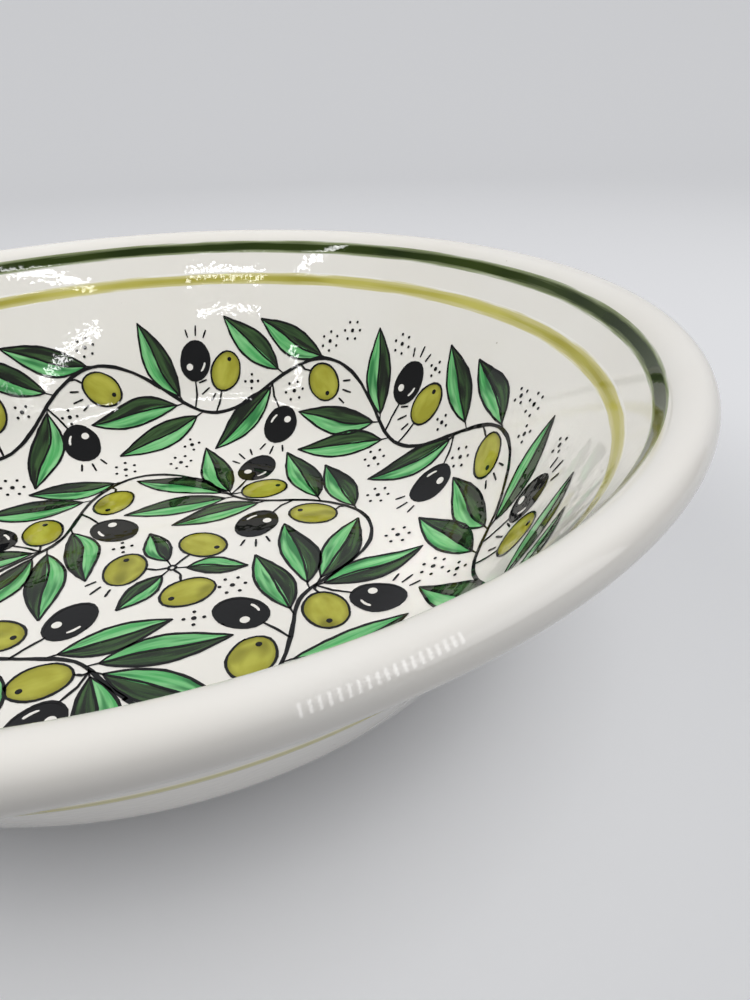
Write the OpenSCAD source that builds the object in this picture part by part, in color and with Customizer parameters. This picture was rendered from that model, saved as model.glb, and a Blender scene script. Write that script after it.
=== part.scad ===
// Glazed earthenware serving bowl with painted olive sprigs.
// Origin: middle of the foot, on the table. +Z is up. Sizes are in millimetres.

/* [Bowl] */
// Outside diameter over the lip
rim_d = 300; // [286:1:330]
// Height from the table to the top of the lip
bowl_h = 88; // [80:1:96]
// Thickness of wall and floor, glaze included
wall_t = 5; // [4.4:0.1:6]
// Slope of the wall above the level
wall_slope = 56.5; // [54:0.5:60]
// Inside radius of the sweep from floor to wall
sweep_r = 50; // [42:0.5:53]

/* [Lip] */
// Radius of the lip's outer roll
lip_roll_r = 4.2; // [3.6:0.1:5]
// Radius of the easing from the top of the lip to the wall
lip_ease_r = 7.5; // [6.8:0.1:9]
// Radius of the hollow under the lip
lip_hollow_r = 3; // [2:0.1:5]

/* [Foot] */
// Outside diameter of the foot ring
foot_d = 120; // [96:1:136]
// Width of the foot ring
foot_w = 8; // [6:0.5:11]
// Height of the foot ring below the underside
foot_h = 5.5; // [4:0.1:8]
// Bevel on the foot ring's lower edges
foot_bevel = 1.2; // [0.6:0.1:1.6]
// Height of bare clay between table and glaze
dry_h = 2.4; // [1.8:0.1:3]

/* [Glaze and paint] */
// Thickness of the glaze
glaze_t = 0.4; // [0.35:0.05:0.7]
// Thickness of the paint film
paint_t = 0.3; // [0.25:0.05:0.4]
// Clearance between the glaze and the paint film
paint_gap = 0.1; // [0.05:0.05:0.2]

/* [Bands] */
// Gap from the lip's easing down to the green band
green_set = 0; // [0:0.1:4]
// Width of the green band
green_w = 5.6; // [2:0.1:6]
// Gap from the green band down to the inner olive band
inner_set = 8; // [5:0.1:12]
// Width of the inner olive band
inner_w = 5.8; // [2:0.1:6]
// Gap from the hollow under the lip down to the outer olive band
outer_set = 30.6; // [10:0.1:36]
// Width of the outer olive band
outer_w = 5.2; // [2:0.1:6]

/* [Painting] */
// Bare glaze between the inner olive band and the painting
bare_w = 14; // [10:1:20]
// Length of a leaf
leaf_len = 36; // [28:1:37]
// Width of a leaf
leaf_w = 12; // [9:0.5:12.5]
// Length of an olive
olive_len = 17.5; // [14:0.5:18]
// Width of an olive
olive_w = 13.5; // [11:0.5:14]
// Width of a stem
stem_w = 1.2; // [0.8:0.1:2]
// Gap from the edge of the painting to the middle line of the outer stem
outer_stem_in = 29; // [27:1:31]
// Gap between the middle lines of the two stems
stem_gap = 55; // [53:1:57]
// Distance of the inner stem's middle line from the middle of the floor
inner_s = 57.5; // [56:0.5:60]
// Swing of the outer stem to each side
outer_swing = 13; // [11:0.5:14]
// Swing of the inner stem to each side
inner_swing = 11; // [9:0.5:12]
// Waves in the outer stem
outer_waves = 7; // [6:1:7]
// Waves in the inner stem
inner_waves = 4; // [3:1:4]

/* [Hidden] */
$fn = 128;
arc_steps = 10;

// Section: floor, sweep and wall. The wall frame stands at the middle of the sweep, with x square
// to the wall, outward, and y up the wall. The wall's inner face is at wall_x, a hair inside the
// sweep, so that both meet at a clean edge, and they lap inside the clay.
wall_in = 0.01;
lap = 3;
wall_x = sweep_r - wall_in;
floor_z = foot_h + wall_t;
sweep_z = floor_z + sweep_r;
ease_x = wall_x + lip_ease_r;
wall_len = (bowl_h - lip_ease_r - sweep_z + ease_x * cos(wall_slope)) / sin(wall_slope);
floor_r = rim_d / 2 - lip_roll_r - ease_x * sin(wall_slope) - wall_len * cos(wall_slope);

// Lip, in the wall frame: the roll and the easing share the top of the lip
top_a = 180 - wall_slope;
ease_c = [ease_x, wall_len];
roll_c = ease_c + (lip_ease_r - lip_roll_r) * [cos(top_a), sin(top_a)];
hollow_x = wall_x + wall_t + lip_hollow_r;
hollow_y = roll_c.y - sqrt(pow(lip_roll_r + lip_hollow_r, 2) - pow(hollow_x - roll_c.x, 2));
hollow_c = [hollow_x, hollow_y];
hollow_a = atan2(roll_c.y - hollow_y, roll_c.x - hollow_x);

// Foot ring
foot_out = foot_d / 2;
foot_in = foot_out - foot_w;
foot_mid = foot_out - foot_w / 2;
core_z = floor_z - wall_t / 2;

// Bands: lower edges, up the wall from the sweep
green_y = wall_len - green_set - green_w;
inner_y = green_y - inner_set - inner_w;
outer_y = hollow_y - outer_set - outer_w;

// Painting: it is drawn flat, as if the inside were unrolled from the middle of the floor, and
// scaled to the space that the bowl has for it
wall_s = floor_r + sweep_r * wall_slope * PI / 180;
reach_s = wall_s + inner_y - bare_w;
outer_s = inner_s + stem_gap;
drawn_scale = reach_s / (outer_s + outer_stem_in);
stem_steps = 14;
leaf_steps = 6;
olive_steps = 14;
stalk_len = 3.5;
// A stem: waves, distance of its middle line from the middle of the floor, swing, and what grows
// on each wave. A leaf: place on the wave, side, angle off the stem, size.
// An olive: place on the wave, side, angle off the stem, distance of its middle in olive lengths,
// turn.
outer_stem = [
    outer_waves, outer_s, outer_swing,
    [[-.1, -1, 26, 1.02], [.25, -1, 14, 1.02], [.48, 1, 24, 1.01], [.81, 1, 54, 1.02],
     [.9, 1, 51, 1.02], [.44, -1, 66, 1.02]],
    [[.37, 1, 124, .84, -20], [.75, -1, 104, 1.08, 4]],
    [[.49, 1, 71, 1.16, -23], [.85, -1, 66, 1.2, 1]]
];
inner_stem = [
    inner_waves, inner_s, inner_swing,
    [[-.17, -1, 27, .98], [.31, -1, 20, .86], [.64, 1, 28, .89], [.81, 1, 52, 1.02],
     [.85, 1, 23, 1.02], [.45, -1, 52, .97]],
    [[.36, 1, 54, .72, -32], [.85, -1, 124, .76, -8]],
    [[.54, 1, 56, 1.12, 13], [.84, -1, 71, 1.2, 1]]
];
// The middle of the floor has a small ring with a leaf and an olive at each third
middle_stem = [3, stem_w, 0, [[0, -1, 90, .55]], [[.5, -1, 90, .8, 90]], []];
stems = [outer_stem, inner_stem, middle_stem];

// Points of an arc round a centre
function arc(c, r, from, to) =
    [for (i = [0 : arc_steps]) let (a = from + (to - from) * i / arc_steps) c + r * [cos(a), sin(a)]];

// Height of the middle of the body's thickness at a radius under the bowl
function core_at(r) = r <= floor_r ? core_z
    : sweep_z - sqrt(pow(sweep_r + wall_t / 2, 2) - pow(r - floor_r, 2));

// Vector of a length at an angle
function polar(d, a) = d * [cos(a), sin(a)];

// Radius in plan at a distance along the inside from the middle of the floor
function plan_r(s) = s <= floor_r ? s
    : s <= wall_s ? floor_r + sweep_r * sin((s - floor_r) / sweep_r * 180 / PI)
    : floor_r + sweep_r * sin(wall_slope) + (s - wall_s) * cos(wall_slope);

// Plan point of a point of the drawing
function on_bowl(p) = polar(plan_r(norm(p) * drawn_scale), atan2(p.y, p.x));

// A stem's distance from the middle, its heading, and a point at an offset to its left
function stem_s(stem, turn) = stem[1] + stem[2] * sin(stem[0] * turn);
function stem_heading(stem, turn) =
    turn + atan2(stem_s(stem, turn), stem[0] * stem[2] * cos(stem[0] * turn));
function stem_point(stem, turn, left = 0) =
    polar(stem_s(stem, turn), turn) + polar(left, stem_heading(stem, turn) + 90);

// Places children in the wall frame
module on_wall() {
    translate([floor_r, sweep_z]) rotate(wall_slope - 90) children();
}

// Floor and sweep between two distances from the middle of the sweep
module floor_and_sweep(near, far) {
    translate([0, sweep_z - far]) square([floor_r, far - near]);
    intersection() {
        translate([floor_r, sweep_z]) difference() {
            circle(far);
            circle(near);
        }
        translate([floor_r, 0]) square([far, sweep_z]);
        on_wall() polygon([[0, -far], [2 * far, -far], [2 * far, lap], [far, lap], [near, 0], [0, 0]]);
    }
}

// Section of the bowl without its foot, drawn in by inset all round
module bowl_section(inset) {
    floor_and_sweep(sweep_r + inset, sweep_r + wall_t - inset);
    on_wall() polygon(concat(
        [[wall_x + inset, -lap], [wall_x + wall_t - inset, 0]],
        arc(hollow_c, lip_hollow_r + inset, 180, hollow_a),
        arc(roll_c, lip_roll_r - inset, hollow_a - 180, top_a),
        arc(ease_c, lip_ease_r - inset, top_a, 180)
    ));
}

// Section of the foot ring, its sides drawn in by inset
module foot_section(inset) {
    polygon([
        [foot_in + inset, core_at(foot_in)],
        [foot_in + inset, foot_bevel],
        [foot_in + inset + foot_bevel, 0],
        [foot_out - inset - foot_bevel, 0],
        [foot_out - inset, foot_bevel],
        [foot_out - inset, core_at(foot_out)]
    ]);
}

// Section of the clay under the glaze
module clay_section() {
    bowl_section(glaze_t);
    foot_section(glaze_t);
}

// Section of the glaze, down to the bare foot
module glaze_section() {
    difference() {
        union() {
            bowl_section(0);
            intersection() {
                foot_section(0);
                translate([0, dry_h]) square([foot_out, bowl_h]);
            }
        }
        clay_section();
    }
}

// Part of the section that lies within the foot ring
module base_zone() {
    square([foot_mid, core_z]);
}

// Paint film on the inside, as far as the painting reaches
module film() {
    far = sweep_r - paint_gap;
    near = far - paint_t;
    rotate_extrude() {
        floor_and_sweep(near, far);
        on_wall() polygon([
            [near - wall_in, -lap], [far - wall_in, 0],
            [far - wall_in, inner_y], [near - wall_in, inner_y]
        ]);
    }
}

// Outline in plan of one half of a leaf: side 1 is left of its midrib, -1 is right
module leaf_half(base, heading, len, w, side) {
    function at(u, v) = on_bowl(base + polar(u * len, heading) + polar(v, heading + 90));
    edge = [for (i = [0 : leaf_steps]) let (u = i / leaf_steps) at(u, side * w / 2 * sin(180 * u))];
    polygon(concat(edge, [at(2 / 3, 0), at(1 / 3, 0)]));
}

// One half of every leaf
module leaf_halves(side) {
    intersection() {
        film();
        linear_extrude(bowl_h) for (stem = stems, i = [0 : stem[0] - 1], leaf = stem[3]) {
            turn = (i + leaf[0]) * 360 / stem[0];
            heading = stem_heading(stem, turn) + leaf[1] * leaf[2];
            base = stem_point(stem, turn) + polar(stalk_len, heading);
            leaf_half(base, heading, leaf_len * leaf[3], leaf_w * sqrt(leaf[3]), side);
        }
    }
}

// Outline in plan of an olive
module olive(middle, heading) {
    polygon([
        for (i = [0 : olive_steps - 1])
            let (a = i * 360 / olive_steps)
            on_bowl(middle + polar(olive_len / 2 * cos(a), heading)
                + polar(olive_w / 2 * sin(a), heading + 90))
    ]);
}

// Every olive of one kind: 4 for the green ones, 5 for the black ones
module olives(kind) {
    intersection() {
        film();
        linear_extrude(bowl_h) for (stem = stems, i = [0 : stem[0] - 1], place = stem[kind]) {
            turn = (i + place[0]) * 360 / stem[0];
            heading = stem_heading(stem, turn) + place[1] * place[2];
            olive(stem_point(stem, turn) + polar(place[3] * olive_len, heading),
                heading + place[1] * place[4]);
        }
    }
}

// Outline of one edge of a stem in plan
module stem_edge(stem, left) {
    count = stem[0] * stem_steps;
    polygon([for (i = [0 : count - 1]) on_bowl(stem_point(stem, i * 360 / count, left))]);
}

module clay_body() {
    color("tan") rotate_extrude() clay_section();
}

module glaze_coat() {
    color("ivory") rotate_extrude() difference() {
        glaze_section();
        base_zone();
    }
}

module base_glaze() {
    color("ivory") rotate_extrude() intersection() {
        glaze_section();
        base_zone();
    }
}

module green_rim_band() {
    color("darkgreen") rotate_extrude() on_wall()
        translate([wall_x - paint_gap - paint_t, green_y]) square([paint_t, green_w]);
}

module olive_inner_band() {
    color("darkkhaki") rotate_extrude() on_wall()
        translate([wall_x - paint_gap - paint_t, inner_y]) square([paint_t, inner_w]);
}

module olive_outer_band() {
    color("darkkhaki") rotate_extrude() on_wall()
        translate([wall_x + wall_t + paint_gap, outer_y]) square([paint_t, outer_w]);
}

module painted_stems() {
    color("black") intersection() {
        film();
        linear_extrude(bowl_h) for (stem = stems) difference() {
            stem_edge(stem, -stem_w / 2);
            stem_edge(stem, stem_w / 2);
        }
    }
}

module painted_leaves_light() {
    color("mediumseagreen") leaf_halves(1);
}

module painted_leaves_dark() {
    color("darkgreen") leaf_halves(-1);
}

module painted_green_olives() {
    color("olive") olives(4);
}

module painted_black_olives() {
    color("black") olives(5);
}

clay_body();
glaze_coat();
base_glaze();
green_rim_band();
olive_inner_band();
olive_outer_band();
painted_stems();
painted_leaves_light();
painted_leaves_dark();
painted_green_olives();
painted_black_olives();
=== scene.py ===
from math import atan2, cos, hypot, pi, radians, sin, sqrt, tan

import bpy
import numpy as np
from mathutils import Matrix, Vector


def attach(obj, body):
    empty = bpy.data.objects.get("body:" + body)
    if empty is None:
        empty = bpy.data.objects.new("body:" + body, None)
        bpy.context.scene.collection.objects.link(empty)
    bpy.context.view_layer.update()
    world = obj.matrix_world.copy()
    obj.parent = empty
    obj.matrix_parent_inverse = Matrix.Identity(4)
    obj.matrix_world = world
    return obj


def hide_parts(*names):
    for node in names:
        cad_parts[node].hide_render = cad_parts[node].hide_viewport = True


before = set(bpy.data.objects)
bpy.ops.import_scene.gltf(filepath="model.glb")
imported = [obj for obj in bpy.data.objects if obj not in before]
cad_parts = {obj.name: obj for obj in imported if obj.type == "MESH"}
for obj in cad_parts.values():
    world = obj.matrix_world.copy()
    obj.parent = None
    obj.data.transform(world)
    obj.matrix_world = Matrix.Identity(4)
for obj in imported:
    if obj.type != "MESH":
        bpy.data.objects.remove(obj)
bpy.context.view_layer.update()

mm = 0.001
scene = bpy.context.scene
scene.view_settings.view_transform = "Standard"

# The thrown form, in mm, the same sizes as the solids
bowl = {
    "rimRadius": 150.0, "height": 88.0, "wall": 5.0, "slope": radians(56.5), "sweep": 50.0,
    "wallIn": 0.01,                                   # the wall stands this far inside the sweep
    "lipRoll": 4.2, "lipEase": 7.5, "lipHollow": 3.0,
    "footRadius": 60.0, "footHeight": 5.5, "dryHeight": 2.4,
    "glaze": 0.4,
}
slope = bowl["slope"]
wallX = bowl["sweep"] - bowl["wallIn"]
floorZ = bowl["footHeight"] + bowl["wall"]
sweepZ = floorZ + bowl["sweep"]
easeX = wallX + bowl["lipEase"]
wallLength = (bowl["height"] - bowl["lipEase"] - sweepZ + easeX * cos(slope)) / sin(slope)
floorRadius = bowl["rimRadius"] - bowl["lipRoll"] - easeX * sin(slope) - wallLength * cos(slope)
wallStart = floorRadius + bowl["sweep"] * slope       # way along the inside from the middle to the wall
topAngle = pi - slope
easeMiddle = (easeX, wallLength)
rollMiddle = (easeX + (bowl["lipEase"] - bowl["lipRoll"]) * cos(topAngle),
              wallLength + (bowl["lipEase"] - bowl["lipRoll"]) * sin(topAngle))
hollowX = wallX + bowl["wall"] + bowl["lipHollow"]
hollowY = rollMiddle[1] - sqrt((bowl["lipRoll"] + bowl["lipHollow"]) ** 2 - (hollowX - rollMiddle[0]) ** 2)
hollowAngle = atan2(rollMiddle[1] - hollowY, rollMiddle[0] - hollowX)


def onWall(x, y):                                     # wall frame to radius and height
    turn = slope - pi / 2
    return floorRadius + x * cos(turn) - y * sin(turn), sweepZ + x * sin(turn) + y * cos(turn)


def insideAt(way):                                    # radius, height and tilt, a way along the inside
    if way <= floorRadius:
        return way, floorZ, 0.0
    if way <= wallStart:
        tilt = (way - floorRadius) / bowl["sweep"]
        return floorRadius + bowl["sweep"] * sin(tilt), sweepZ - bowl["sweep"] * cos(tilt), tilt
    return (*onWall(wallX, way - wallStart), slope)


def steps(start, end, count):
    return [start + (end - start) * i / count for i in range(count + 1)]


def arc(middle, radius, start, end, count):
    return [onWall(middle[0] + radius * cos(a), middle[1] + radius * sin(a))
            for a in steps(start, end, count)]


# steps along each stretch of the section, for a coarse skin
skinSteps = {"floor": 8, "sweep": 14, "wall": 6, "ease": 8, "roll": 12, "hollow": 6,
             "outerWall": 5, "outerSweep": 12}


def bowlSkin(inset, fine):                            # section from the middle of the floor to the foot
    sweep = bowl["sweep"]
    outer = sweep + bowl["wall"] - inset
    count = {stretch: number * fine for stretch, number in skinSteps.items()}
    points = [(r, floorZ - inset) for r in steps(0, floorRadius, count["floor"])]
    points += [(floorRadius + (sweep + inset) * sin(a), sweepZ - (sweep + inset) * cos(a))
               for a in steps(0, slope, count["sweep"])[1:]]
    points += [onWall(wallX + inset, y) for y in steps(0, wallLength, count["wall"])[1:]]
    points += arc(easeMiddle, bowl["lipEase"] - inset, pi, topAngle, count["ease"])[1:]
    points += arc(rollMiddle, bowl["lipRoll"] - inset, topAngle, hollowAngle - pi, count["roll"])[1:]
    points += arc((hollowX, hollowY), bowl["lipHollow"] + inset, hollowAngle, pi, count["hollow"])[1:]
    points += [onWall(wallX + bowl["wall"] - inset, y) for y in steps(hollowY, 0, count["outerWall"])[1:]]
    points += [(floorRadius + outer * sin(a), sweepZ - outer * cos(a))
               for a in steps(slope, 0, count["outerSweep"])[1:]]
    return points


# Bench tools
spinning = {"weld": 0.002, "smooth": radians(50)}


def deselectAll():
    if bpy.context.object and bpy.context.object.mode != "OBJECT":
        bpy.ops.object.mode_set(mode="OBJECT")
    bpy.ops.object.select_all(action="DESELECT")


def makeActive(piece):
    deselectAll()
    piece.select_set(True)
    bpy.context.view_layer.objects.active = piece


def applyModifier(piece, kind, **settings):
    makeActive(piece)
    modifier = piece.modifiers.new(kind.title(), kind)
    for key, value in settings.items():
        setattr(modifier, key, value)
    bpy.ops.object.modifier_apply(modifier=modifier.name)


def spunPiece(name, section, around):                 # draws a section vertex by vertex and spins it
    deselectAll()
    r, z = section[0]
    bpy.ops.mesh.primitive_plane_add(size=mm, location=(0, 0, 0))
    piece = bpy.context.object
    piece.name = piece.data.name = name
    bpy.ops.object.mode_set(mode="EDIT")
    bpy.ops.mesh.select_mode(type="VERT")
    bpy.ops.mesh.select_all(action="SELECT")
    bpy.ops.mesh.merge(type="CENTER")
    bpy.ops.transform.translate(value=(r * mm, 0, z * mm))
    for nextR, nextZ in section[1:]:
        move = ((nextR - r) * mm, 0, (nextZ - z) * mm)
        bpy.ops.mesh.extrude_vertices_move(TRANSFORM_OT_translate={"value": move})
        r, z = nextR, nextZ
    bpy.ops.mesh.select_all(action="SELECT")
    bpy.ops.mesh.spin(steps=around, angle=2 * pi, center=(0, 0, 0), axis=(0, 0, 1))
    bpy.ops.mesh.select_all(action="SELECT")
    bpy.ops.mesh.remove_doubles(threshold=spinning["weld"] * mm)
    bpy.ops.mesh.normals_make_consistent(inside=False)
    bpy.ops.object.mode_set(mode="OBJECT")
    bpy.ops.object.shade_smooth_by_angle(angle=spinning["smooth"])
    return piece


def finishPiece(piece, material, slotName, *nodes):
    piece.data.materials.clear()
    piece.data.materials.append(material)
    if nodes:
        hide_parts(*nodes)
    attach(piece, "root")


def joinPieces(name, pieces):
    deselectAll()
    for piece in pieces:
        piece.select_set(True)
    bpy.context.view_layer.objects.active = pieces[0]
    bpy.ops.object.join()
    joined = bpy.context.object
    joined.name = joined.data.name = name
    return joined


def hexColour(code):
    parts = [int(code[i:i + 2], 16) / 255 for i in (1, 3, 5)]
    return (*[c / 12.92 if c <= 0.04045 else ((c + 0.055) / 1.055) ** 2.4 for c in parts], 1.0)


def addNode(tree, kind, inputs={}, **settings):
    node = tree.nodes.new(kind)
    for key, value in settings.items():
        setattr(node, key, value)
    for key, value in inputs.items():
        if isinstance(value, bpy.types.NodeSocket):
            tree.links.new(value, node.inputs[key])
        else:
            node.inputs[key].default_value = value
    return node


def newMaterial(name):
    material = bpy.data.materials.new(name)
    material.use_nodes = True
    tree = material.node_tree
    return material, tree, tree.nodes["Principled BSDF"]


# Materials
# Clear gloss over everything that is painted or glazed: a smooth fired skin with a slight orange peel,
# which breaks up the glints and fades on the lip, where the glaze runs thin. Sizes are in mm.
gloss = {"roughness": 0.025, "ior": 1.5, "peel": 2.2, "peelDepth": 0.02, "wave": 34.0, "waveDepth": 0.04,
         "lipFrom": 79.0, "lipTo": 84.0, "lipPeel": 0.015}


def addGloss(tree, shader):
    place = addNode(tree, "ShaderNodeTexCoord").outputs["Object"]
    wave = addNode(tree, "ShaderNodeTexNoise", {
        "Vector": place, "Scale": 1 / (gloss["wave"] * mm), "Detail": 1.0})
    peel = addNode(tree, "ShaderNodeTexNoise", {
        "Vector": place, "Scale": 1 / (gloss["peel"] * mm), "Detail": 0.0})
    slow = addNode(tree, "ShaderNodeBump", {
        "Height": wave.outputs["Fac"], "Distance": gloss["waveDepth"] * mm, "Strength": 1.0})
    spot = addNode(tree, "ShaderNodeSeparateXYZ", {"Vector": place})
    fade = addNode(tree, "ShaderNodeMapRange", {
        "Value": spot.outputs["Z"], "From Min": gloss["lipFrom"] * mm, "From Max": gloss["lipTo"] * mm,
        "To Min": 1.0, "To Max": gloss["lipPeel"]})
    fine = addNode(tree, "ShaderNodeBump", {
        "Height": peel.outputs["Fac"], "Distance": gloss["peelDepth"] * mm,
        "Strength": fade.outputs["Result"], "Normal": slow.outputs["Normal"]})
    tree.links.new(fine.outputs["Normal"], shader.inputs["Normal"])
    shader.inputs["Roughness"].default_value = gloss["roughness"]
    shader.inputs["IOR"].default_value = gloss["ior"]
    return place


# Tin-white glaze on earthenware: creamy, a little warmer where it lies thin, with a rare iron speck
glazeLook = {"cream": "#EEECE8", "warm": "#E8E4DD", "cloud": 45.0,
             "speck": "#8A7A62", "speckGap": 16.0, "speckHeart": 0.012, "speckEdge": 0.03,
             "speckStrength": 0.55}


def tinGlazeMaterial():
    material, tree, shader = newMaterial("tinWhiteGlaze")
    place = addGloss(tree, shader)
    cloud = addNode(tree, "ShaderNodeTexNoise", {"Vector": place, "Scale": 1 / (glazeLook["cloud"] * mm)})
    cell = addNode(tree, "ShaderNodeTexVoronoi", {
        "Vector": place, "Scale": 1 / (glazeLook["speckGap"] * mm)})
    speck = addNode(tree, "ShaderNodeMapRange", {
        "Value": cell.outputs["Distance"], "From Min": glazeLook["speckHeart"],
        "From Max": glazeLook["speckEdge"], "To Min": glazeLook["speckStrength"], "To Max": 0.0})
    cream = addNode(tree, "ShaderNodeMix", {
        0: cloud.outputs["Fac"], 6: hexColour(glazeLook["cream"]), 7: hexColour(glazeLook["warm"])},
        data_type="RGBA")
    skin = addNode(tree, "ShaderNodeMix", {
        0: speck.outputs["Result"], 6: cream.outputs[2], 7: hexColour(glazeLook["speck"])},
        data_type="RGBA")
    tree.links.new(skin.outputs[2], shader.inputs["Base Color"])
    return material


# Bare fired earthenware: matt buff clay with fine grog and the rings of the turning tool
clayLook = {"buff": "#D9B08C", "burnt": "#C0906A", "grog": 1.6, "rings": 1.1, "ringWobble": 0.6,
            "depth": 0.08, "roughness": 0.85}
waveRings = 20 / (2 * pi)                             # rings in one unit of a wave texture at scale 1


def firedClayMaterial():
    material, tree, shader = newMaterial("firedEarthenware")
    place = addNode(tree, "ShaderNodeTexCoord").outputs["Object"]
    grog = addNode(tree, "ShaderNodeTexNoise", {
        "Vector": place, "Scale": 1 / (clayLook["grog"] * mm), "Detail": 4.0})
    level = addNode(tree, "ShaderNodeVectorMath", {0: place, 1: (1, 1, 0)}, operation="MULTIPLY")
    rings = addNode(tree, "ShaderNodeTexWave", {
        "Vector": level.outputs["Vector"], "Distortion": clayLook["ringWobble"],
        "Scale": 1 / (waveRings * clayLook["rings"] * mm)},
        wave_type="RINGS", rings_direction="SPHERICAL")
    rough = addNode(tree, "ShaderNodeMath", {
        0: grog.outputs["Fac"], 1: rings.outputs["Fac"]}, operation="ADD")
    bump = addNode(tree, "ShaderNodeBump", {
        "Height": rough.outputs["Value"], "Distance": clayLook["depth"] * mm})
    clay = addNode(tree, "ShaderNodeMix", {
        0: grog.outputs["Fac"], 6: hexColour(clayLook["buff"]), 7: hexColour(clayLook["burnt"])},
        data_type="RGBA")
    tree.links.new(clay.outputs[2], shader.inputs["Base Color"])
    tree.links.new(bump.outputs["Normal"], shader.inputs["Normal"])
    shader.inputs["Roughness"].default_value = clayLook["roughness"]
    return material


# A banded stripe: colour laid with a full brush on the turning wheel, dark in its middle, thin at its
# edges, with streaks that run round the bowl
banding = {"patchThin": 0.35, "patchFull": 0.65, "edgeSoft": 0.12, "specular": 0.22}


def bandMaterial(name, look):
    material, tree, shader = newMaterial(name)
    place = addGloss(tree, shader)
    spot = addNode(tree, "ShaderNodeSeparateXYZ", {"Vector": place})
    across = addNode(tree, "ShaderNodeMapRange", {
        "Value": spot.outputs["Z"], "From Min": look["low"] * mm, "From Max": look["high"] * mm})
    level = addNode(tree, "ShaderNodeVectorMath", {0: place, 1: (1, 1, 0)}, operation="MULTIPLY")
    way = addNode(tree, "ShaderNodeVectorMath", {0: level.outputs["Vector"]}, operation="NORMALIZE")
    lift = addNode(tree, "ShaderNodeCombineXYZ", {"Z": across.outputs["Result"]})
    streakPlace = addNode(tree, "ShaderNodeVectorMath", {
        0: way.outputs["Vector"], 1: (look["runs"],) * 3, 2: lift.outputs["Vector"]},
        operation="MULTIPLY_ADD")
    streak = addNode(tree, "ShaderNodeTexNoise", {
        "Vector": streakPlace.outputs["Vector"], "Scale": look["fine"], "Detail": 3.0})
    patch = addNode(tree, "ShaderNodeTexNoise", {
        "Vector": way.outputs["Vector"], "Scale": look["patches"], "Detail": 2.0})
    # distance from the stripe's heart, 0 in the heart and 1 at the edges
    off = addNode(tree, "ShaderNodeMath", {
        0: across.outputs["Result"], 1: look["heart"]}, operation="SUBTRACT")
    far = addNode(tree, "ShaderNodeMath", {0: off.outputs["Value"]}, operation="ABSOLUTE")
    wander = addNode(tree, "ShaderNodeMath", {
        0: streak.outputs["Fac"], 1: look["streaks"], 2: far.outputs["Value"]}, operation="MULTIPLY_ADD")
    thin = addNode(tree, "ShaderNodeMapRange", {
        "Value": wander.outputs["Value"], "From Min": look["solid"], "From Max": look["gone"]},
        interpolation_type="SMOOTHSTEP")
    edge = addNode(tree, "ShaderNodeMapRange", {
        "Value": wander.outputs["Value"], "From Min": look["edge"],
        "From Max": look["gone"] + banding["edgeSoft"]}, interpolation_type="SMOOTHSTEP")
    full = addNode(tree, "ShaderNodeMapRange", {
        "Value": patch.outputs["Fac"], "From Min": banding["patchThin"], "From Max": banding["patchFull"]})
    heart = addNode(tree, "ShaderNodeMix", {
        0: full.outputs["Result"], 6: hexColour(look["dark"]), 7: hexColour(look["mid"])}, data_type="RGBA")
    wash = addNode(tree, "ShaderNodeMix", {
        0: thin.outputs["Result"], 6: heart.outputs[2], 7: hexColour(look["wash"])}, data_type="RGBA")
    colour = addNode(tree, "ShaderNodeMix", {
        0: edge.outputs["Result"], 6: wash.outputs[2], 7: hexColour(glazeLook["cream"])}, data_type="RGBA")
    tree.links.new(colour.outputs[2], shader.inputs["Base Color"])
    shader.inputs["Specular IOR Level"].default_value = banding["specular"]
    return material


# A brushed wash inside an ink outline: it pools dark at its edges and streaks along the brush.
# The UV map runs 0 to 1 along and across each stroke, and whole numbers tell the strokes apart.
streakRange = (0.38, 0.62)                            # noise from the mid tone to the light one


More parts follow.
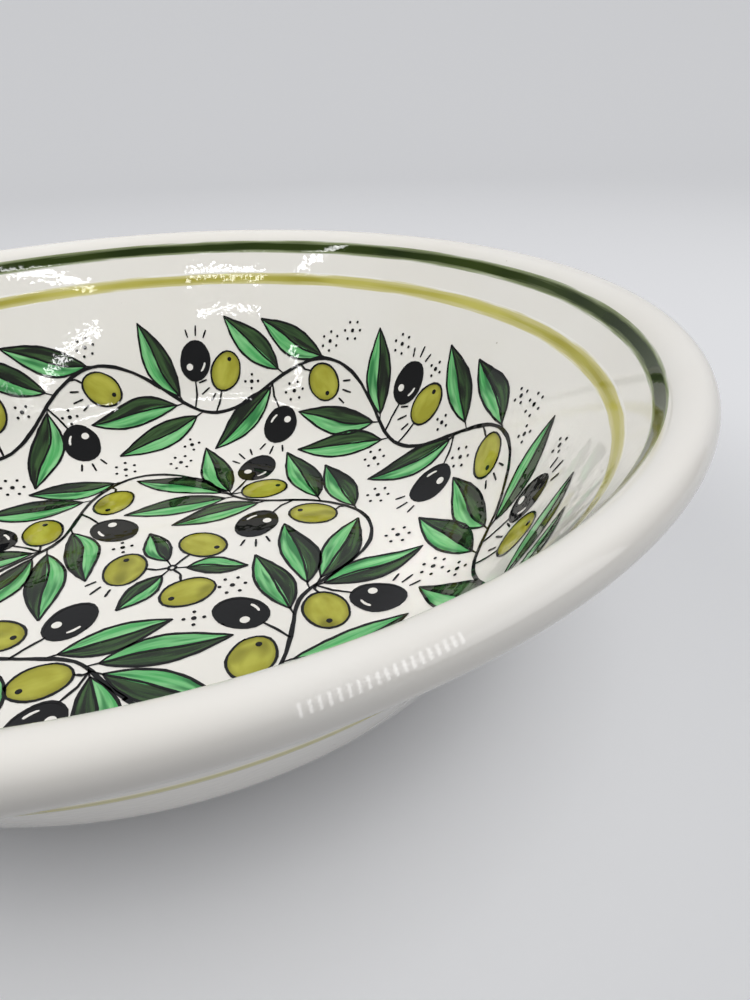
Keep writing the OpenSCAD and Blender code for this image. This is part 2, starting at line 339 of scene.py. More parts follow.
def washMaterial(name, look):
    material, tree, shader = newMaterial(name)
    addGloss(tree, shader)
    chart = addNode(tree, "ShaderNodeUVMap", uv_map="wash").outputs["UV"]
    along = addNode(tree, "ShaderNodeMapping", {"Vector": chart, "Scale": look["streak"]})
    streak = addNode(tree, "ShaderNodeTexNoise", {
        "Vector": along.outputs["Vector"], "Scale": 1.0, "Detail": 3.0})
    pool = addNode(tree, "ShaderNodeTexNoise", {"Vector": chart, "Scale": look["pools"], "Detail": 1.0})
    light = addNode(tree, "ShaderNodeMapRange", {
        "Value": streak.outputs["Fac"], "From Min": streakRange[0], "From Max": streakRange[1]})
    deep = addNode(tree, "ShaderNodeMapRange", {
        "Value": pool.outputs["Fac"], "From Min": look["poolFrom"], "From Max": look["poolTo"]},
        interpolation_type="SMOOTHSTEP")
    # u(1 - u) v(1 - v) is 1/16 in the heart of a stroke and nothing along its edges
    own = addNode(tree, "ShaderNodeVectorMath", {0: chart}, operation="FRACTION")
    rest = addNode(tree, "ShaderNodeVectorMath", {
        0: (1, 1, 1), 1: own.outputs["Vector"]}, operation="SUBTRACT")
    hump = addNode(tree, "ShaderNodeVectorMath", {
        0: own.outputs["Vector"], 1: rest.outputs["Vector"]}, operation="MULTIPLY")
    sides = addNode(tree, "ShaderNodeSeparateXYZ", {"Vector": hump.outputs["Vector"]})
    heart = addNode(tree, "ShaderNodeMath", {
        0: sides.outputs["X"], 1: sides.outputs["Y"]}, operation="MULTIPLY")
    rim = addNode(tree, "ShaderNodeMapRange", {
        "Value": heart.outputs["Value"], "From Max": look["rimWide"] / 16,
        "To Min": look["rim"], "To Max": 0.0}, interpolation_type="SMOOTHSTEP")
    pooled = addNode(tree, "ShaderNodeMath", {
        0: deep.outputs["Result"], 1: rim.outputs["Result"]}, operation="MAXIMUM")
    body = addNode(tree, "ShaderNodeMix", {
        0: light.outputs["Result"], 6: hexColour(look["mid"]), 7: hexColour(look["light"])},
        data_type="RGBA")
    colour = addNode(tree, "ShaderNodeMix", {
        0: pooled.outputs["Value"], 6: body.outputs[2], 7: hexColour(look["deep"])}, data_type="RGBA")
    tree.links.new(colour.outputs[2], shader.inputs["Base Color"])
    return material


# Black line colour: dense, opaque, as glossy as the glaze over it
inkLook = {"black": "#08080A", "thin": "#141517", "patches": 9.0, "specular": 0.3}


def inkMaterial(name):
    material, tree, shader = newMaterial(name)
    place = addGloss(tree, shader)
    patch = addNode(tree, "ShaderNodeTexNoise", {"Vector": place, "Scale": 1 / (inkLook["patches"] * mm)})
    ink = addNode(tree, "ShaderNodeMix", {
        0: patch.outputs["Fac"], 6: hexColour(inkLook["black"]), 7: hexColour(inkLook["thin"])},
        data_type="RGBA")
    tree.links.new(ink.outputs[2], shader.inputs["Base Color"])
    shader.inputs["Specular IOR Level"].default_value = inkLook["specular"]
    return material


tinGlaze = tinGlazeMaterial()
firedClay = firedClayMaterial()
lineInk = inkMaterial("blackLineColour")
print("materials ready")

# Glaze coat: outer skin to the bare foot, and back along the clay
coat = {"around": 256, "footFillet": 1.6, "filletSteps": 5, "edgeRound": 0.5, "edgeIn": 0.1, "edgeUp": 0.15}


def glazeSection():
    foot, dry = bowl["footRadius"], bowl["dryHeight"]
    fillet, edge = coat["footFillet"], coat["edgeRound"]
    under = bowl["footHeight"]
    section = bowlSkin(0, 2)
    section += [(foot + fillet - fillet * sin(a), under - fillet + fillet * cos(a))
                for a in steps(0, pi / 2, coat["filletSteps"])]
    section += [(foot, dry + edge), (foot - coat["edgeIn"], dry + coat["edgeUp"]),
                (foot - bowl["glaze"], dry)]
    back = bowlSkin(bowl["glaze"], 1)
    section += [(foot - bowl["glaze"], under + bowl["glaze"])]
    return section + back[::-1]


glazeCoat = spunPiece("glazeCoat", glazeSection(), coat["around"])
finishPiece(glazeCoat, tinGlaze, "white_glaze", "glaze_coat")
for node, material in (("clay_body", firedClay), ("base_glaze", tinGlaze)):
    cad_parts[node].data.materials.clear()
    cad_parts[node].data.materials.append(material)
print("glaze coat spun:", len(glazeCoat.data.polygons), "faces")

# Banded stripes
stripes = {
    "greenRimBand": {
        "node": "green_rim_band", "slot": "green_band_paint",
        "from": wallLength - 5.6, "wide": 5.6, "out": False,
        "dark": "#182704", "mid": "#394812", "wash": "#8C9670", "heart": 0.54, "solid": 0.36, "gone": 0.6,
        "edge": 0.55, "streaks": 0.36, "runs": 1.0, "fine": 6.0, "patches": 2.2,
    },
    "oliveInnerBand": {
        "node": "olive_inner_band", "slot": "olive_band_paint",
        "from": wallLength - 19.4, "wide": 5.8, "out": False,
        "dark": "#9A922E", "mid": "#C4BD64", "wash": "#CFC88F", "heart": 0.48, "solid": 0.24, "gone": 0.56,
        "edge": 0.52, "streaks": 0.38, "runs": 1.0, "fine": 6.0, "patches": 2.6,
    },
    "oliveOuterBand": {
        "node": "olive_outer_band", "slot": "olive_band_paint",
        "from": hollowY - 35.8, "wide": 5.2, "out": True,
        "dark": "#B8B056", "mid": "#C6BF74", "wash": "#D8D2A8", "heart": 0.5, "solid": 0.2, "gone": 0.6,
        "edge": 0.54, "streaks": 0.34, "runs": 1.0, "fine": 6.0, "patches": 2.6,
    },
}
stripeFilm = {"around": 256, "across": 10, "thick": 0.06, "sunk": 0.06, "wander": 0.22,
              "flat": 8, "swings": (2, 5, 9, 14), "topPhase": 1.3, "footPhase": 2.1}
for name, look in stripes.items():
    out = 1 if look["out"] else -1                    # which way off the wall the colour stands
    face = wallX + (bowl["wall"] if look["out"] else 0)
    section = []
    for t in steps(-1, 1, stripeFilm["across"]):
        # flat on top, so that it mirrors as the glaze does
        lift = stripeFilm["thick"] * (1 - t ** stripeFilm["flat"])
        section.append(onWall(face + out * lift, look["from"] + look["wide"] * (t + 1) / 2))
    section.append(onWall(face - out * stripeFilm["sunk"], look["from"] + look["wide"]))
    section.append(onWall(face - out * stripeFilm["sunk"], look["from"]))
    section.append(section[0])
    stripe = spunPiece(name, section, stripeFilm["around"])
    middle = Vector(onWall(face, look["from"] + look["wide"] / 2)) * mm
    for vertex in stripe.data.vertices:               # a hand on the wheel is never quite still
        angle = atan2(vertex.co.y, vertex.co.x)
        side = (vertex.co.z - middle.y) / (look["wide"] / 2 * sin(slope) * mm)
        phase = stripeFilm["topPhase"] if side > 0 else stripeFilm["footPhase"]
        swings = stripeFilm["swings"]
        sway = sum(sin(k * angle + k * k * phase) / len(swings) for k in swings)
        shift = stripeFilm["wander"] * sway * side * mm
        vertex.co += Vector((cos(slope) * cos(angle), cos(slope) * sin(angle), sin(slope))) * shift
    look["low"] = onWall(face, look["from"])[1]
    look["high"] = onWall(face, look["from"] + look["wide"])[1]
    finishPiece(stripe, bandMaterial(name + "Colour", look), look["slot"], look["node"])
print("stripes banded")

# Painting: drawn flat in mm round the middle of the floor, then laid on the bowl
painting = {
    "leafLength": 36.0, "leafWidth": 12.0, "oliveLength": 17.5, "oliveWidth": 13.5, "stalk": 3.5,
    "reach": 141.5, "bareWidth": 14.0,
    # a stem: waves, way out of its middle line, swing; leaves are place on the wave, side, angle, size;
    # olives are place, side, angle, way off in olive lengths, turn
    "outer": {
        "waves": 7, "way": 112.5, "swing": 13.0,
        "leaves": [(-.1, -1, 26, 1.02), (.25, -1, 14, 1.02), (.48, 1, 24, 1.01), (.81, 1, 54, 1.02),
                   (.9, 1, 51, 1.02), (.44, -1, 66, 1.02)],
        "green": [(.37, 1, 124, .84, -20), (.75, -1, 104, 1.08, 4)],
        "black": [(.49, 1, 71, 1.16, -23), (.85, -1, 66, 1.2, 1)],
    },
    "inner": {
        "waves": 4, "way": 57.5, "swing": 11.0,
        "leaves": [(-.17, -1, 27, .98), (.31, -1, 20, .86), (.64, 1, 28, .89), (.81, 1, 52, 1.02),
                   (.85, 1, 23, 1.02), (.45, -1, 52, .97)],
        "green": [(.36, 1, 54, .72, -32), (.85, -1, 124, .76, -8)],
        "black": [(.54, 1, 56, 1.12, 13), (.84, -1, 71, 1.2, 1)],
    },
    "middle": {
        "waves": 3, "way": 1.2, "swing": 0.0,
        "leaves": [(0, -1, 90, .55)], "green": [(.5, -1, 90, .8, 90)], "black": [],
    },
}
innerBandFoot = stripes["oliveInnerBand"]["from"]
drawnScale = (wallStart + innerBandFoot - painting["bareWidth"]) / painting["reach"]
lifts = {"wash": 0.1, "ink": 0.2, "light": 0.26}      # top of each layer over the glaze
film = {"thick": 0.08, "weld": 0.004, "smooth": radians(40)}
driftWaves = ((12.9898, 4.1414, 0.62), (78.233, 0.0, 0.38))     # pace, start and share of each


def polar(length, angle):
    return Vector((length * cos(angle), length * sin(angle)))


# a steady hand's small drift, the same each run; what is added to a seed keeps its uses apart
def unsteady(seed):
    return sum(sin(pace * seed + start) * share for pace, start, share in driftWaves)


def layOnBowl(point, lift):
    radius, height, tilt = insideAt(point.length * drawnScale)
    angle = atan2(point.y, point.x)
    out = radius - lift * sin(tilt)
    return Vector((out * cos(angle), out * sin(angle), height + lift * cos(tilt))) * mm


def stemWay(stem, turn):
    return stem["way"] + stem["swing"] * sin(stem["waves"] * turn)


def stemPoint(stem, turn):
    return polar(stemWay(stem, turn), turn)


def stemHeading(stem, turn):
    return turn + atan2(stemWay(stem, turn), stem["waves"] * stem["swing"] * cos(stem["waves"] * turn))


brushes = {}


def brushCopy(along, across):                         # a plain patch, modelled once per size and copied
    if (along, across) not in brushes:
        deselectAll()
        bpy.ops.mesh.primitive_grid_add(x_subdivisions=along, y_subdivisions=across, size=1, calc_uvs=True)
        template = bpy.context.object
        template.data.uv_layers[0].name = "wash"
        template.hide_set(True)
        brushes[along, across] = template
    template = brushes[along, across]
    copy = template.copy()
    copy.data = template.data.copy()
    scene.collection.objects.link(copy)
    return copy


def layPatch(along, across, place, lift, seed=0):     # place gives a flat point for u and v from 0 to 1
    patch = brushCopy(along, across)
    for vertex in patch.data.vertices:
        vertex.co = layOnBowl(place(vertex.co.x + 0.5, vertex.co.y + 0.5), lift)
    for chart in patch.data.uv_layers["wash"].data:
        chart.uv.x += seed
    return patch


# A brush stroke: full in its body, pressed and lifted as it goes, with a little drift to the sides
brushHand = {"look": 0.02, "full": 1.15, "press": 0.18, "pressPace": 3.1, "drift": 1.7, "driftPace": 2.3}


def layStroke(path, width, along, taper, wobble=0.0, seed=0):
    lengths = [0.0]
    for first, second in zip(path, path[1:]):
        lengths.append(lengths[-1] + (second - first).length)

    def at(share):
        target = min(max(share, 0.0), 1.0) * lengths[-1]
        for i in range(1, len(path)):
            if target <= lengths[i] or i == len(path) - 1:
                part = (target - lengths[i - 1]) / (lengths[i] - lengths[i - 1] or 1)
                return path[i - 1].lerp(path[i], part)

    def place(u, v):
        heading = at(u + brushHand["look"]) - at(u - brushHand["look"])
        left = Vector((-heading.y, heading.x)).normalized()
        body = taper + (1 - taper) * min(1.0, sqrt(max(0.0, sin(pi * u))) * brushHand["full"])
        press = 1 + brushHand["press"] * unsteady(seed + brushHand["pressPace"] * u)
        sideways = wobble * unsteady(seed * brushHand["drift"] + brushHand["driftPace"] * u)
        return at(u) + left * ((v - 0.5) * width * body * press + sideways)

    return layPatch(along, 1, place, lifts["ink"], seed)


def finishPaint(name, patches, material, slotName, *nodes):
    piece = joinPieces(name, patches)
    bpy.ops.object.mode_set(mode="EDIT")
    bpy.ops.mesh.select_all(action="SELECT")
    bpy.ops.mesh.remove_doubles(threshold=film["weld"] * mm)
    bpy.ops.mesh.dissolve_degenerate(threshold=film["weld"] * mm)
    bpy.ops.object.mode_set(mode="OBJECT")
    applyModifier(piece, "SOLIDIFY", thickness=film["thick"] * mm, offset=-1)
    bpy.ops.object.shade_smooth_by_angle(angle=film["smooth"])
    finishPiece(piece, material, slotName, *nodes)


washLight, washDark, greenOlives, blackOlives, inkStrokes, oliveLights = [], [], [], [], [], []
taken = []                                            # flat points and radii that are already painted
oliveSpots = []
leafBrush = {
    "along": 14, "across": 3, "edgeSteps": 16, "ribSteps": 12, "slip": 0.35, "clear": 0.8, "clearSteps": 10,
    "bend": 0.055, "secondBend": 0.5, "belly": 0.92, "baseFull": 1.06, "tipThin": 0.16,
    "fillFrom": 0.015, "fillLength": 0.97, "fillWidth": 0.97,   # the wash stops short of the outline
    "line": 0.95, "lineTaper": 0.6, "lineWobble": 0.12, "lineSeed": 0.21,
    "rib": 0.8, "ribTaper": 0.5, "ribWobble": 0.1, "ribSway": 0.1, "ribLength": 0.97,
}


def leafOutline(base, heading, length, width, bend):
    def at(u, v):
        full = leafBrush["baseFull"] - leafBrush["tipThin"] * u
        half = sin(pi * u ** leafBrush["belly"]) * full * width / 2
        curve = bend * length * sin(pi * u) + leafBrush["secondBend"] * bend * length * sin(2 * pi * u)
        return base + polar(u * length, heading) + polar(v * half + curve, heading + pi / 2)
    return at


def paintLeaf(stem, turn, side, angle, size, seed):
    start = stemPoint(stem, turn)
    heading = stemHeading(stem, turn) + side * angle
    base = start + polar(painting["stalk"], heading)
    length = painting["leafLength"] * size
    width = painting["leafWidth"] * sqrt(size)
    leaf = leafOutline(base, heading, length, width, leafBrush["bend"] * unsteady(seed))
    slip = Vector((unsteady(seed + 0.3), unsteady(seed + 0.7))) * leafBrush["slip"]
    for half, patches in ((1, washLight), (-1, washDark)):
        def place(u, v, half=half):
            along = leafBrush["fillFrom"] + leafBrush["fillLength"] * u
            return leaf(along, half * (v if half > 0 else 1 - v) * leafBrush["fillWidth"]) + slip
        patches.append(layPatch(leafBrush["along"], leafBrush["across"], place, lifts["wash"], 2 * seed))
        edge = [leaf(u, half) for u in steps(0, 1, leafBrush["edgeSteps"])]
        inkStrokes.append(layStroke(edge, leafBrush["line"], leafBrush["along"], leafBrush["lineTaper"],
                                    leafBrush["lineWobble"], seed + half * leafBrush["lineSeed"]))
    rib = [start] + [leaf(u, leafBrush["ribSway"] * sin(2 * pi * u))
                     for u in steps(0, leafBrush["ribLength"], leafBrush["ribSteps"])]
    inkStrokes.append(layStroke(rib, leafBrush["rib"], leafBrush["along"], leafBrush["ribTaper"],
                                leafBrush["ribWobble"], seed + 0.5))
    taken.extend((leaf(u, 0), 0.5 * width * sin(pi * u) + leafBrush["clear"])
                 for u in steps(0, 1, leafBrush["clearSteps"]))


# angles in radians round the olive from its tip, places as shares of the way out to its edge
oliveBrush = {
    "fine": 8, "fill": 0.99, "slip": 0.3, "clear": 0.9,
    "line": 0.85, "rings": 24, "lineStart": 0.3, "lineSteps": 32, "lap": 1.02,
    "lineTaper": 0.6, "lineWobble": 0.1,
    "stalk": 0.85, "stalkTaper": 0.7, "stalkWobble": 0.05, "stalkAt": 0.98, "sag": 1.2,
    "eye": 0.95, "eyeTurn": 0.35, "eyeAt": 0.62,
    "glint": 1.5, "glintTurn": 2.3, "glintAt": 0.5,
    "dash": 1.0, "dashFrom": -2.5, "dashTo": -1.7, "dashAt": 0.66, "dashSteps": 6, "dashTaper": 0.5,
}
dotFine = 4


def oliveOutline(middle, heading):
    def at(turn, share):
        x = painting["oliveLength"] / 2 * cos(turn) * share
        y = painting["oliveWidth"] / 2 * sin(turn) * share
        return middle + polar(x, heading) + polar(y, heading + pi / 2)
    return at


def disc(u, v):                                       # a square patch drawn out to a round one
    x, y = 2 * u - 1, 2 * v - 1
    return Vector((x * sqrt(1 - y * y / 2), y * sqrt(1 - x * x / 2)))


def paintOlive(stem, turn, side, angle, off, lean, seed, isGreen):
    start = stemPoint(stem, turn)
    heading = stemHeading(stem, turn) + side * angle
    middle = start + polar(off * painting["oliveLength"], heading)
    lie = heading + side * lean
    olive = oliveOutline(middle, lie)
    slip = Vector((unsteady(seed + 0.2), unsteady(seed + 0.9))) * oliveBrush["slip"] * isGreen

    def fill(u, v):
        spot = disc(u, v)
        return olive(atan2(spot.y, spot.x), oliveBrush["fill"] * spot.length) + slip

    fine = oliveBrush["fine"]
    (greenOlives if isGreen else blackOlives).append(layPatch(fine, fine, fill, lifts["wash"], 2 * seed))
    begin = oliveBrush["lineStart"] * seed
    ring = [olive(a, 1.0)
            for a in steps(begin, begin + 2 * pi * oliveBrush["lap"], oliveBrush["lineSteps"])]
    inkStrokes.append(layStroke(ring, oliveBrush["line"], oliveBrush["rings"], oliveBrush["lineTaper"],
                                oliveBrush["lineWobble"], seed))
    foot = olive(atan2(sin(heading + pi - lie), cos(heading + pi - lie)), oliveBrush["stalkAt"])
    sag = polar(oliveBrush["sag"] * unsteady(seed + 0.4), heading + pi / 2)
    inkStrokes.append(layStroke([start, start.lerp(foot, 0.5) + sag, foot], oliveBrush["stalk"], fine,
                                oliveBrush["stalkTaper"], oliveBrush["stalkWobble"], seed))
    if isGreen:                                       # the dark eye at the tip
        eye = olive(oliveBrush["eyeTurn"] * unsteady(seed), oliveBrush["eyeAt"])
        inkStrokes.append(layDot(eye, oliveBrush["eye"], lifts["ink"]))
    else:                                             # two glints left white
        glint = olive(oliveBrush["glintTurn"], oliveBrush["glintAt"])
        oliveLights.append(layDot(glint, oliveBrush["glint"], lifts["light"]))
        dash = [olive(a, oliveBrush["dashAt"])
                for a in steps(oliveBrush["dashFrom"], oliveBrush["dashTo"], oliveBrush["dashSteps"])]
        oliveLights.append(layGlint(dash, oliveBrush["dash"]))
    taken.append((middle, painting["oliveLength"] / 2 - oliveBrush["clear"]))
    oliveSpots.append((middle, lie, seed))


def layDot(middle, radius, lift):
    def place(u, v):
        return middle + disc(u, v) * radius
    return layPatch(dotFine, dotFine, place, lift)


def layGlint(path, width):
    patch = layStroke(path, width, oliveBrush["dashSteps"], oliveBrush["dashTaper"])
    bowlMiddle = Vector((0, 0, sweepZ * mm))
    for vertex in patch.data.vertices:                # up from the ink to the top layer
        vertex.co += (bowlMiddle - vertex.co).normalized() * (lifts["light"] - lifts["ink"]) * mm
    return patch


seed = 1
stemBrush = {"outer": 1.45, "inner": 1.35, "middle": 0.9, "along": 44, "steps": 48, "lap": 1.01,
             "taper": 0.9, "wobble": 0.15, "clear": 1.6}
for stemName in ("outer", "inner", "middle"):
    stem = painting[stemName]
    wave = 2 * pi / stem["waves"]
    for i in range(stem["waves"]):
        path = [stemPoint(stem, (i + t) * wave) for t in steps(0, stemBrush["lap"], stemBrush["steps"])]
        inkStrokes.append(layStroke(path, stemBrush[stemName], stemBrush["along"], stemBrush["taper"],
                                    stemBrush["wobble"], seed))
        taken.extend((point, stemBrush["clear"]) for point in path)
        for place, side, angle, size in stem["leaves"]:
            paintLeaf(stem, (i + place) * wave, side, radians(angle), size, seed)
            seed += 1
        for kind, isGreen in (("green", True), ("black", False)):
            for place, side, angle, off, lean in stem[kind]:
                paintOlive(stem, (i + place) * wave, side, radians(angle), off, radians(lean), seed,
                           isGreen)
                seed += 1
print("sprigs drawn:", len(inkStrokes), "ink strokes")

# small ink marks in the bare places: dashes round the olives, and dots in sevens and fives
marks = {
    "pitch": 3.0, "rowPitch": 0.87, "edge": 139.0, "dot": 0.6, "heart": 1.4, "apart": 2.0,
    "turn": 3.0, "turnPace": 0.77,
    "sevens": {"room": 5.6, "around": 6, "off": 4.0}, "fives": {"room": 4.6, "around": 4, "off": 3.0},
    "dash": 4.6, "line": 0.8, "taper": 0.75, "away": 2.0, "fan": 0.36, "shorter": 0.18,
    "dashSteps": 4, "dashTries": 12, "dashRoom": 1.1, "dashClear": 0.6,
}
inkMarks = []
takenAt = np.array([tuple(point) for point, radius in taken])
takenWide = np.array([radius for point, radius in taken])


def roomAt(point):
    return float((np.hypot(takenAt[:, 0] - point.x, takenAt[:, 1] - point.y) - takenWide).min())


def takePoints(spots, wide):
    global takenAt, takenWide
    takenAt = np.vstack([takenAt, [tuple(spot) for spot in spots]])
    takenWide = np.append(takenWide, [wide] * len(spots))


for middle, lie, order in oliveSpots:                 # rays of three dashes off an olive's bare side
    for turn in steps(lie, lie + 2 * pi, marks["dashTries"])[:-1]:
        rays = []
        for k in (-1, 0, 1):
            way = turn + marks["fan"] * k
            edge = hypot(painting["oliveLength"] / 2 * cos(way - lie),
                         painting["oliveWidth"] / 2 * sin(way - lie))
            share = 1 - marks["shorter"] * abs(k)
            rays.append([middle + polar(edge + marks["away"] + t * marks["dash"] * share, way)
                         for t in steps(0, 1, marks["dashSteps"])])
        if all(roomAt(point) > marks["dashRoom"] for ray in rays for point in ray[1:]):
            for k, ray in enumerate(rays):
                inkMarks.append(layStroke(ray, marks["line"], marks["dashSteps"], marks["taper"], 0.0,
                                          order + k))
                takePoints(ray, marks["dashClear"])
            break
spots = []
rows = int(marks["edge"] / marks["pitch"])
for i in range(-rows, rows + 1):
    for j in range(-rows, rows + 1):
        spot = Vector(((i + 0.5 * (j % 2)) * marks["pitch"], j * marks["pitch"] * marks["rowPitch"]))
        if spot.length < marks["edge"] and roomAt(spot) > marks["fives"]["room"]:
            spots.append((-roomAt(spot), len(spots), spot))
for room, order, spot in sorted(spots):
    if roomAt(spot) < marks["fives"]["room"]:         # taken by an earlier mark
        continue
    turn = marks["turn"] * unsteady(order * marks["turnPace"])
    group = marks["sevens" if roomAt(spot) > marks["sevens"]["room"] else "fives"]
    ring = [spot + polar(group["off"], turn + k * 2 * pi / group["around"]) for k in range(group["around"])]
    inkMarks.append(layDot(spot, marks["dot"] * marks["heart"], lifts["ink"]))
    inkMarks += [layDot(point, marks["dot"], lifts["ink"]) for point in ring]
    takePoints([spot], group["off"] + marks["apart"])
print("small marks:", len(inkMarks))

leafGreen = {"light": "#88CB8C", "mid": "#4CA85E", "deep": "#2F7B43", "streak": (1.6, 3.0, 1.0),
             "pools": 1.8, "poolFrom": 0.5, "poolTo": 0.7, "rim": 0.35, "rimWide": 0.3}
leafShade = {"light": "#3A5A2F", "mid": "#1D331A", "deep": "#0F190B", "streak": (1.6, 4.0, 1.0),
             "pools": 1.8, "poolFrom": 0.45, "poolTo": 0.65, "rim": 0.35, "rimWide": 0.3}
oliveGreen = {"light": "#B6B446", "mid": "#A09D2E", "deep": "#7C791C", "streak": (1.2, 2.0, 1.0),
              "pools": 1.2, "poolFrom": 0.5, "poolTo": 0.75, "rim": 0.75, "rimWide": 0.6}
finishPaint("leavesLight", washLight, washMaterial("lightLeafWash", leafGreen), "light_leaf_paint",
            "painted_leaves_light")
finishPaint("leavesDark", washDark, washMaterial("darkLeafWash", leafShade), "dark_leaf_paint",
            "painted_leaves_dark")
finishPaint("olivesGreen", greenOlives, washMaterial("oliveGreenWash", oliveGreen), "olive_paint",
            "painted_green_olives")
finishPaint("olivesBlack", blackOlives, lineInk, "black_paint", "painted_black_olives")
finishPaint("stemsAndOutlines", inkStrokes, lineInk, "black_paint", "painted_stems")
finishPaint("inkMarks", inkMarks, lineInk, "black_paint")
finishPaint("oliveGlints", oliveLights, tinGlaze, "white_glaze")
for template in brushes.values():
    bpy.data.objects.remove(template)
print("painting laid on the bowl")

# Stage: one pale sheet that sweeps up behind the bowl
sheet = {
    "wide": 5.0, "back": 1.6, "high": 2.4, "bend": 0.6, "bendParts": 24,
    "grey": "#C6C7CA", "white": "#F2F3F6", "roughness": 0.9, "specular": 0.1,
    # its own seen white by way from the bowl in m, with a painted shadow: dim close to the bowl, where the
    # wall overhangs
    "paintedShadowGlow": ((0.085, 0.07), (0.11, 0.25), (0.14, 0.41), (0.2, 0.425), (0.28, 0.54), (0.7, 0.5),
             (1.0, 0.445)),
}
deselectAll()
bpy.ops.mesh.primitive_plane_add(size=sheet["wide"], location=(0, sheet["back"] - sheet["wide"] / 2, 0))
bpy.ops.object.transform_apply(location=True, rotation=True, scale=True)
backdrop = bpy.context.object
backdrop.name = "paleSheet"
for edge in backdrop.data.edges:
    edge.select = all(backdrop.data.vertices[i].co.y > sheet["back"] - mm for i in edge.vertices)
for vertex in backdrop.data.vertices:
    vertex.select = vertex.co.y > sheet["back"] - mm
for face in backdrop.data.polygons:
    face.select = False
bpy.ops.object.mode_set(mode="EDIT")
bpy.ops.mesh.select_mode(type="EDGE")
bpy.ops.mesh.extrude_region_move(TRANSFORM_OT_translate={"value": (0, 0, sheet["high"])})
bpy.ops.object.mode_set(mode="OBJECT")
for edge in backdrop.data.edges:
    ends = [backdrop.data.vertices[i].co for i in edge.vertices]
    edge.select = all(end.y > sheet["back"] - mm and end.z < mm for end in ends)
bpy.ops.object.mode_set(mode="EDIT")
bpy.ops.mesh.bevel(offset=sheet["bend"], segments=sheet["bendParts"], affect="EDGES")
bpy.ops.object.mode_set(mode="OBJECT")
bpy.ops.object.shade_smooth()
paper, tree, shader = newMaterial("palePaper")
ray = addNode(tree, "ShaderNodeLightPath")
eyed = addNode(tree, "ShaderNodeMath", {
    0: ray.outputs["Is Camera Ray"], 1: ray.outputs["Is Glossy Ray"]}, operation="ADD")
through = addNode(tree, "ShaderNodeMath", {
    0: eyed.outputs["Value"], 1: ray.outputs["Is Transmission Ray"]}, operation="ADD", use_clamp=True)
shader.inputs["Base Color"].default_value = hexColour(sheet["grey"])
place = addNode(tree, "ShaderNodeTexCoord").outputs["Object"]
# painted shadow: the sheet's seen white is an emission, dim close to the bowl and brighter further off
away = addNode(tree, "ShaderNodeVectorMath", {0: place}, operation="LENGTH")
ramp = addNode(tree, "ShaderNodeValToRGB", {"Fac": away.outputs["Value"]})
ramp.color_ramp.interpolation = "CARDINAL"
stops = ramp.color_ramp.elements
while len(stops) < len(sheet["paintedShadowGlow"]):
    stops.new(0.5)
for stop, (position, strength) in zip(stops, sheet["paintedShadowGlow"]):
    stop.position = position
    stop.color = (strength, strength, strength, 1.0)
paintedShadowGlow = addNode(tree, "ShaderNodeMath", {
    0: ramp.outputs["Color"], 1: through.outputs["Value"]}, operation="MULTIPLY")
tree.links.new(paintedShadowGlow.outputs["Value"], shader.inputs["Emission Strength"])
shader.inputs["Emission Color"].default_value = hexColour(sheet["white"])
shader.inputs["Roughness"].default_value = sheet["roughness"]
shader.inputs["Specular IOR Level"].default_value = sheet["specular"]
backdrop.data.materials.append(paper)

# Camera: its place in mm, its tilt and roll in radians
eye = {"place": (66.2, -199.4, 149.1), "down": 0.5265, "roll": -0.0359,
       "lens": 27.0, "sensor": 36.0, "near": 5}
onward = Vector((0, cos(eye["down"]), -sin(eye["down"])))
upward = Vector((0, sin(eye["down"]), cos(eye["down"])))
right = Vector((1, 0, 0))
camRight = right * cos(eye["roll"]) + upward * sin(eye["roll"])
camUp = upward * cos(eye["roll"]) - right * sin(eye["roll"])
deselectAll()
bpy.ops.object.camera_add()
camera = bpy.context.object
camera.data.lens = eye["lens"]
camera.data.sensor_width = eye["sensor"]
camera.data.clip_start = eye["near"] * mm
turned = Matrix((camRight, camUp, -onward)).transposed().to_4x4()
camera.matrix_world = Matrix.Translation(Vector(eye["place"]) * mm) @ turned
scene.camera = camera

# Light: a white tent, brighter overhead and seen as pale as the sheet, soft lamps, and small strips that
# glint in the glaze
tent = {"white": "#F6F6F6", "top": 0.45, "side": 0.25, "seen": 0.64, "sideUpTo": -0.1, "topFrom": 0.8}
world = scene.world or bpy.data.worlds.new("room")
scene.world = world
world.use_nodes = True
tree = world.node_tree
place = addNode(tree, "ShaderNodeTexCoord").outputs["Generated"]
way = addNode(tree, "ShaderNodeSeparateXYZ", {"Vector": place})
height = addNode(tree, "ShaderNodeMapRange", {
    "Value": way.outputs["Z"], "From Min": tent["sideUpTo"], "From Max": tent["topFrom"],
    "To Min": tent["side"], "To Max": tent["top"]}, interpolation_type="SMOOTHSTEP")
room = tree.nodes["Background"]
room.inputs["Color"].default_value = hexColour(tent["white"])
ray = addNode(tree, "ShaderNodeLightPath")
strength = addNode(tree, "ShaderNodeMix", {
    0: ray.outputs["Is Camera Ray"], 2: height.outputs["Result"], 3: tent["seen"]})
tree.links.new(strength.outputs[0], room.inputs["Strength"])


def addLamp(name, place, aim, wide, high, watts):
    deselectAll()
    bpy.ops.object.light_add(type="AREA", location=place)
    lamp = bpy.context.object
    lamp.name = name
    lamp.data.shape = "RECTANGLE"
    lamp.data.size, lamp.data.size_y = wide, high
    lamp.data.energy = watts
    lamp.visible_camera = False
    lamp.rotation_euler = (Vector(aim) - Vector(place)).to_track_quat("-Z", "Y").to_euler()
    return lamp


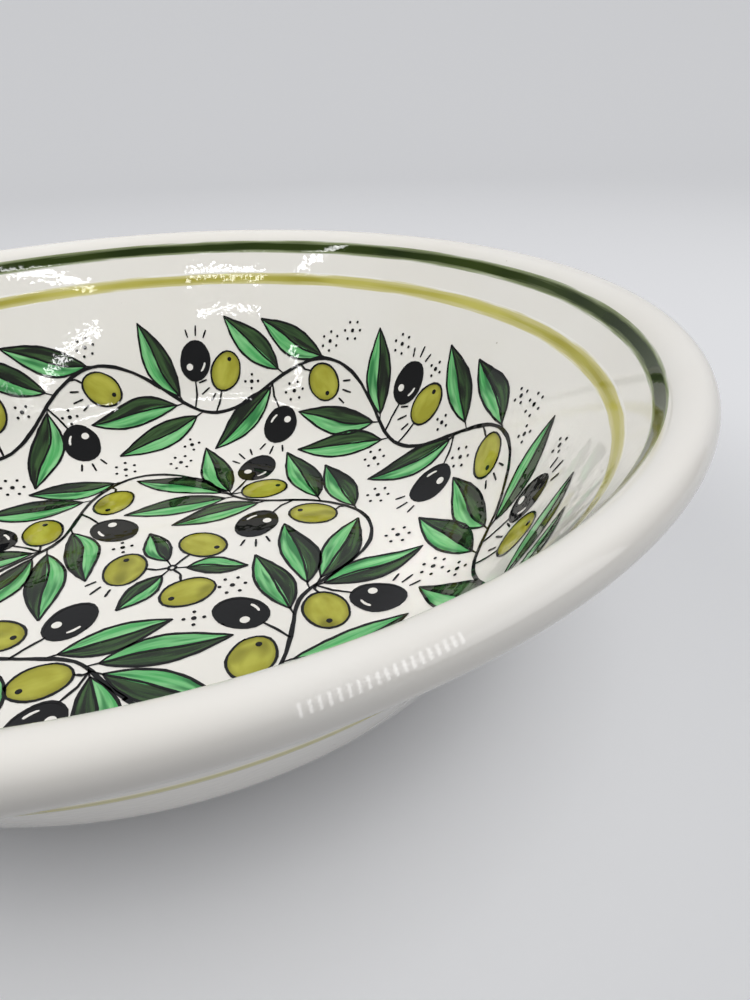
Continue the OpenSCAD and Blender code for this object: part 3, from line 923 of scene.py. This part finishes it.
# soft lamps, in m and degrees; those with a spread are cloths too soft to mirror, and they light the bowl
# alone, because the sheet has its own white
softLamps = {
    "rightSide": {"place": (0.9, -0.35, 0.5), "aim": (0.0, 0.0, 0.05), "wide": 0.8, "high": 0.6,
                  "watts": 2.1},
    "ceiling": {"place": (-0.12, 0.0, 0.6), "aim": (0.0, 0.01, 0.0), "wide": 0.4, "high": 0.4, "watts": 0.8,
                "spread": 95},
    "sweepFill": {"place": (0.085, 0.0, 0.45), "aim": (0.085, 0.0, 0.0), "wide": 0.02, "high": 0.02,
                  "watts": 0.0025, "spread": 13},
    "underLip": {"place": (0.05, -0.34, 0.008), "aim": (0.03, -0.11, 0.042), "wide": 0.4, "high": 0.01,
                 "watts": 0.02, "spread": 26},
    "behind": {"place": (-0.45, 0.45, 0.07), "aim": (-0.08, 0.08, 0.045), "wide": 0.5, "high": 0.03,
               "watts": 0.07, "spread": 60},
}
unlit = bpy.data.collections.new("unlitByCloths")
unlit.objects.link(backdrop)
unlit.collection_objects[0].light_linking.link_state = "EXCLUDE"
for name, soft in softLamps.items():
    lamp = addLamp(name, soft["place"], soft["aim"], soft["wide"], soft["high"], soft["watts"])
    if "spread" in soft:
        lamp.data.spread = radians(soft["spread"])
        lamp.visible_glossy = False
        lamp.light_linking.receiver_collection = unlit
# rows of small bars, placed where the glaze of the bowl mirrors them to the camera, in mm
bars = {
    "front": {"from": (-51, -126, 420), "to": (-150, -107, 420), "aim": (6, 132, 73),
              "count": 14, "wide": 3.6, "high": 14, "bright": 32},
    "low": {"from": (-67, -169, 420), "to": (-165, -147, 420), "aim": (7, 123, 60),
            "count": 14, "wide": 3.6, "high": 5, "bright": 30},
    "left": {"from": (-192, -72, 420), "to": (-219, -8, 420), "aim": (45, 128, 78),
             "count": 9, "wide": 4.0, "high": 12, "bright": 32},
    "farLeft": {"from": (-266, -166, 420), "to": (-325, -185, 420), "aim": (35, 105, 40),
                "count": 7, "wide": 4.0, "high": 12, "bright": 22},
    "right": {"from": (115, -34, 420), "to": (64, -104, 420), "aim": (-65, 118, 78),
              "count": 10, "wide": 4.0, "high": 12, "bright": 32},
    "farRight": {"from": (88, -146, 420), "to": (226, -124, 420), "aim": (-60, 100, 50),
                 "count": 18, "wide": 3.2, "high": 14, "bright": 24},
}
barHalfSpread = radians(30)                           # narrow, so that the near lip stays free of glints
barFocus = tan(barHalfSpread) / (tan(barHalfSpread) - barHalfSpread)


def turnLamp(lamp, along, aim):                       # faces the aim, its height along a direction
    back = (lamp.location - aim).normalized()
    across = along.cross(back).normalized()
    lamp.rotation_euler = Matrix((across, back.cross(across), back)).transposed().to_euler()
    lamp.visible_diffuse = False


for barName, bar in bars.items():
    for i, share in enumerate(steps(0, 1, bar["count"] - 1)):
        spot = Vector(bar["from"]).lerp(Vector(bar["to"]), share) * mm
        aim = Vector(bar["aim"]) * mm
        watts = bar["bright"] * pi * bar["wide"] * bar["high"] * mm * mm / barFocus
        glint = addLamp(barName + "Bar" + str(i), spot, aim, bar["wide"] * mm, bar["high"] * mm, watts)
        glint.data.spread = 2 * barHalfSpread
        turnLamp(glint, Vector((0, 1, 0)), aim)       # the bars lie along the view

# long strips that the near lip mirrors as strokes across its roll; first and last turn round the bowl,
# and the places on the roll where the first and the last stroke start and end, in degrees
lipStrokes = {"count": 19, "turn": (-67.6, -59.1), "top": (80.0, 92.8), "foot": (57.6, 72.6), "away": 600,
              "wide": 6, "bends": 3, "bright": 4.5}


def mirrorSpot(turn, place, away):                    # what the lip mirrors to the camera, some way off
    edge = (rollMiddle[0] + bowl["lipRoll"] * cos(place), rollMiddle[1] + bowl["lipRoll"] * sin(place))
    radius, height = onWall(*edge)
    rise = place + slope - pi / 2
    spot = Vector((radius * cos(turn), radius * sin(turn), height))
    normal = Vector((cos(rise) * cos(turn), cos(rise) * sin(turn), sin(rise)))
    view = (spot - Vector(eye["place"])).normalized()
    return spot + view.reflect(normal) * away


for i, share in enumerate(steps(0, 1, lipStrokes["count"] - 1)):
    ends = [lipStrokes[key] for key in ("turn", "top", "foot")]
    turn, top, foot = [radians(first + (last - first) * share) for first, last in ends]
    places = steps(top, foot, lipStrokes["bends"])
    for j, (first, last) in enumerate(zip(places, places[1:])):
        start = mirrorSpot(turn, first, lipStrokes["away"]) * mm
        end = mirrorSpot(turn, last, lipStrokes["away"]) * mm
        aim = mirrorSpot(turn, (first + last) / 2, 0) * mm
        high = (end - start).length
        watts = lipStrokes["bright"] * pi * lipStrokes["wide"] * mm * high
        name = "lipStrip" + str(i) + "_" + str(j)
        strip = addLamp(name, (start + end) / 2, aim, lipStrokes["wide"] * mm, high, watts)
        turnLamp(strip, end - start, aim)
print("stage and lamps set")
